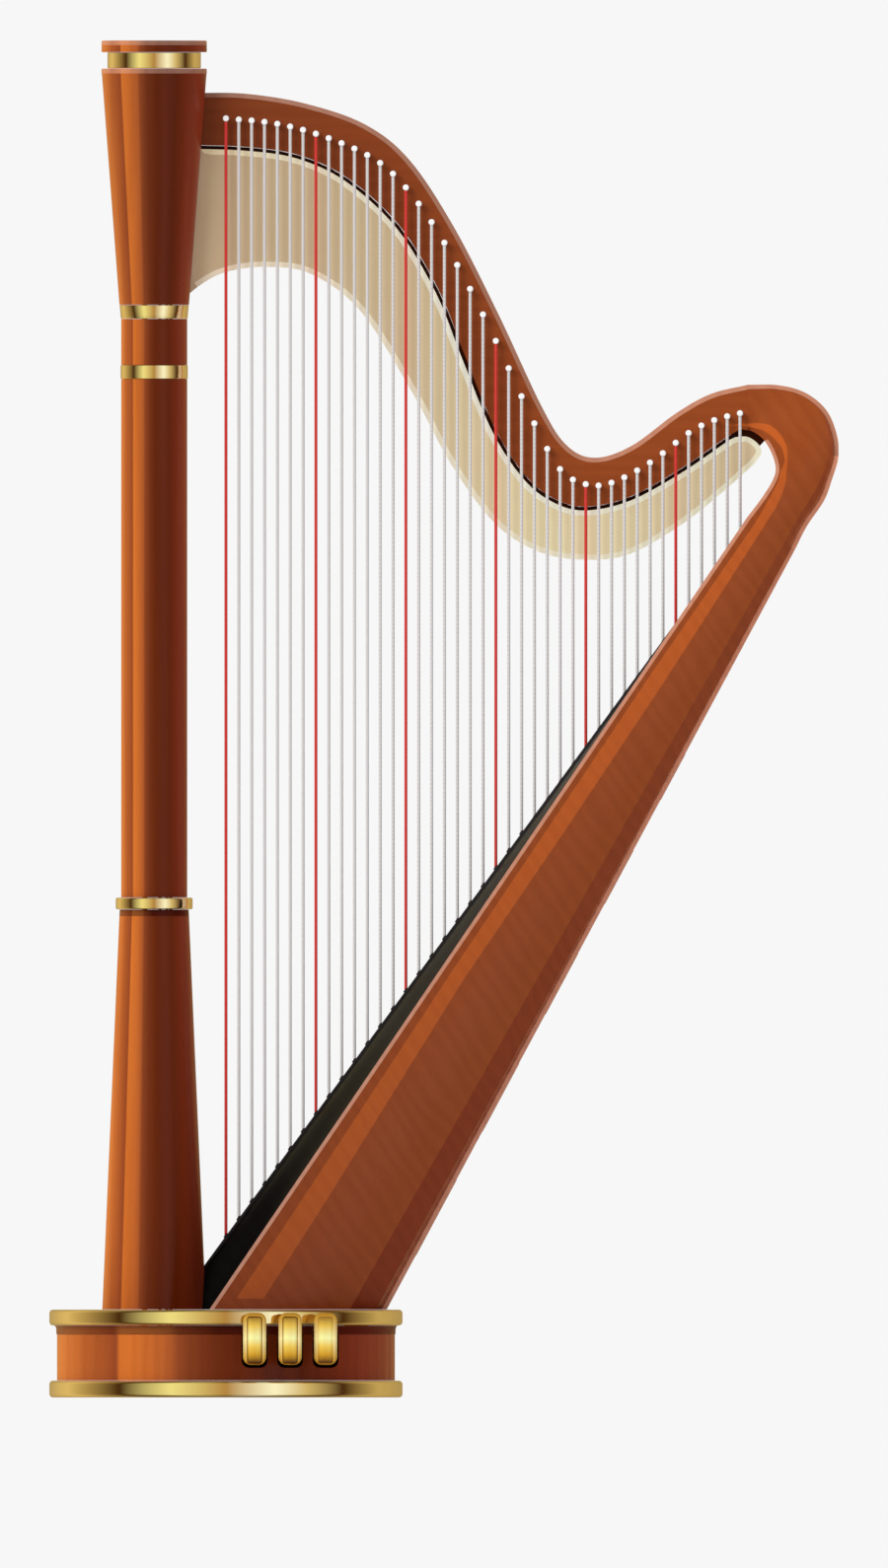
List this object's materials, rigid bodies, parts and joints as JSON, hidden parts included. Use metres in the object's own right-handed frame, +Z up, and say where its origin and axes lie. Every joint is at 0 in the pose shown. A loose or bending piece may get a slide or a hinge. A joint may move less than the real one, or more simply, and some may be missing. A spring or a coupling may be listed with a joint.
{
  "type": "concert harp",
  "caption": "Double-action pedal harp: tapered column, curved neck with brass action plates, D-section soundbox, strings, round pedal base",
  "frame": {"origin": "middle of the overall box, on the floor under the base", "axes": "+X from the column towards the player, +Z up, so the strings stand along Z and the side with three pedals faces -Y"},
  "size_m": [1.0464, 0.518, 1.8],
  "materials": {
    "mahogany": "gloss varnish",
    "dark_wood": "satin",
    "maple": "bare",
    "black_lacquer": "gloss lacquer",
    "gold": "polished gold",
    "champagne_brass": "satin",
    "steel": "brushed",
    "string_gut": "satin, gut and wire strings"
  },
  "bodies": {
    "frame": {"base_wall": "mahogany", "column_foot": "mahogany", "column_shaft": "mahogany", "column_capital": "mahogany", "crown_cap": "mahogany", "neck": "mahogany", "shoulder": "mahogany", "soundbox_back": "mahogany", "base_floor": "dark_wood", "base_deck": "dark_wood", "base_brace": "dark_wood", "action_core": "dark_wood", "soundbox_foot_block": "maple", "soundbox_former_1": "maple", "soundbox_former_2": "maple", "soundboard": "black_lacquer", "string_rib": "black_lacquer", "base_bottom_moulding": "gold", "base_top_moulding": "gold", "foot_ring": "gold", "shaft_ring": "gold", "capital_ring": "gold", "crown_ring": "gold", "action_plate_left": "champagne_brass", "action_plate_right": "champagne_brass", "pedal_bracket": "steel", "pedal_spring_d": "steel", "pedal_spring_c": "steel", "pedal_spring_b": "steel", "pedal_spring_e": "steel", "pedal_spring_f": "steel", "pedal_spring_g": "steel", "pedal_spring_a": "steel", "strings_octave_1": "string_gut", "strings_octave_2": "string_gut", "strings_octave_3": "string_gut", "strings_octave_4": "string_gut", "strings_octave_5": "string_gut", "strings_octave_6": "string_gut"},
    "pedal_d": {"pedal_lever_d": "steel", "pedal_cap_d": "gold"},
    "rod_d": {"pedal_rod_d": "steel"},
    "pedal_c": {"pedal_lever_c": "steel", "pedal_cap_c": "gold"},
    "rod_c": {"pedal_rod_c": "steel"},
    "pedal_b": {"pedal_lever_b": "steel", "pedal_cap_b": "gold"},
    "rod_b": {"pedal_rod_b": "steel"},
    "pedal_e": {"pedal_lever_e": "steel", "pedal_cap_e": "gold"},
    "rod_e": {"pedal_rod_e": "steel"},
    "pedal_f": {"pedal_lever_f": "steel", "pedal_cap_f": "gold"},
    "rod_f": {"pedal_rod_f": "steel"},
    "pedal_g": {"pedal_lever_g": "steel", "pedal_cap_g": "gold"},
    "rod_g": {"pedal_rod_g": "steel"},
    "pedal_a": {"pedal_lever_a": "steel", "pedal_cap_a": "gold"},
    "rod_a": {"pedal_rod_a": "steel"}
  },
  "joints": [
    {"name": "pedal_d_hinge", "type": "hinge", "parent": "frame", "child": "pedal_d", "pos_m": [-0.36958, -0.05146, 0.0778], "axis": [0.769, 0.6392, 0], "range_deg": [0, 7.4], "stiffness_Nm_per_rad": 20, "springref_deg": -5.73, "deforming": ["pedal_spring_d"]},
    {"name": "rod_d_slide", "type": "slide", "parent": "frame", "child": "rod_d", "axis": [0, 0, 1], "range_m": [0, 0.0059]},
    {"name": "pedal_c_hinge", "type": "hinge", "parent": "frame", "child": "pedal_c", "pos_m": [-0.34403, -0.05165, 0.0778], "axis": [0.6883, 0.7255, 0], "range_deg": [0, 7.2], "stiffness_Nm_per_rad": 20, "springref_deg": -5.73, "deforming": ["pedal_spring_c"]},
    {"name": "rod_c_slide", "type": "slide", "parent": "frame", "child": "rod_c", "axis": [0, 0, 1], "range_m": [0, 0.0057]},
    {"name": "pedal_b_hinge", "type": "hinge", "parent": "frame", "child": "pedal_b", "pos_m": [-0.33074, -0.04031, 0.0778], "axis": [0.5815, 0.8135, 0], "range_deg": [0, 6.8], "stiffness_Nm_per_rad": 20, "springref_deg": -5.73, "deforming": ["pedal_spring_b"]},
    {"name": "rod_b_slide", "type": "slide", "parent": "frame", "child": "rod_b", "axis": [0, 0, 1], "range_m": [0, 0.0054]},
    {"name": "pedal_e_hinge", "type": "hinge", "parent": "frame", "child": "pedal_e", "pos_m": [-0.32309, 0.02225, 0.0778], "axis": [-0.4945, 0.8692, 0], "range_deg": [0, 6.3], "stiffness_Nm_per_rad": 20, "springref_deg": -5.73, "deforming": ["pedal_spring_e"]},
    {"name": "rod_e_slide", "type": "slide", "parent": "frame", "child": "rod_e", "axis": [0, 0, 1], "range_m": [0, 0.005]},
    {"name": "pedal_f_hinge", "type": "hinge", "parent": "frame", "child": "pedal_f", "pos_m": [-0.33074, 0.04031, 0.0778], "axis": [-0.5815, 0.8135, 0], "range_deg": [0, 6.8], "stiffness_Nm_per_rad": 20, "springref_deg": -5.73, "deforming": ["pedal_spring_f"]},
    {"name": "rod_f_slide", "type": "slide", "parent": "frame", "child": "rod_f", "axis": [0, 0, 1], "range_m": [0, 0.0054]},
    {"name": "pedal_g_hinge", "type": "hinge", "parent": "frame", "child": "pedal_g", "pos_m": [-0.34403, 0.05165, 0.0778], "axis": [-0.6883, 0.7255, 0], "range_deg": [0, 7.2], "stiffness_Nm_per_rad": 20, "springref_deg": -5.73, "deforming": ["pedal_spring_g"]},
    {"name": "rod_g_slide", "type": "slide", "parent": "frame", "child": "rod_g", "axis": [0, 0, 1], "range_m": [0, 0.0057]},
    {"name": "pedal_a_hinge", "type": "hinge", "parent": "frame", "child": "pedal_a", "pos_m": [-0.36659, 0.05379, 0.0778], "axis": [-0.7719, 0.6358, 0], "range_deg": [0, 7.5], "stiffness_Nm_per_rad": 20, "springref_deg": -5.73, "deforming": ["pedal_spring_a"]},
    {"name": "rod_a_slide", "type": "slide", "parent": "frame", "child": "rod_a", "axis": [0, 0, 1], "range_m": [0, 0.0059]}
  ],
  "couplings": [
    {"joint": "rod_d_slide", "follows": "pedal_d_hinge", "m_per_rad": 0.045},
    {"joint": "rod_c_slide", "follows": "pedal_c_hinge", "m_per_rad": 0.045},
    {"joint": "rod_b_slide", "follows": "pedal_b_hinge", "m_per_rad": 0.045},
    {"joint": "rod_e_slide", "follows": "pedal_e_hinge", "m_per_rad": 0.045},
    {"joint": "rod_f_slide", "follows": "pedal_f_hinge", "m_per_rad": 0.045},
    {"joint": "rod_g_slide", "follows": "pedal_g_hinge", "m_per_rad": 0.045},
    {"joint": "rod_a_slide", "follows": "pedal_a_hinge", "m_per_rad": 0.045}
  ]
}
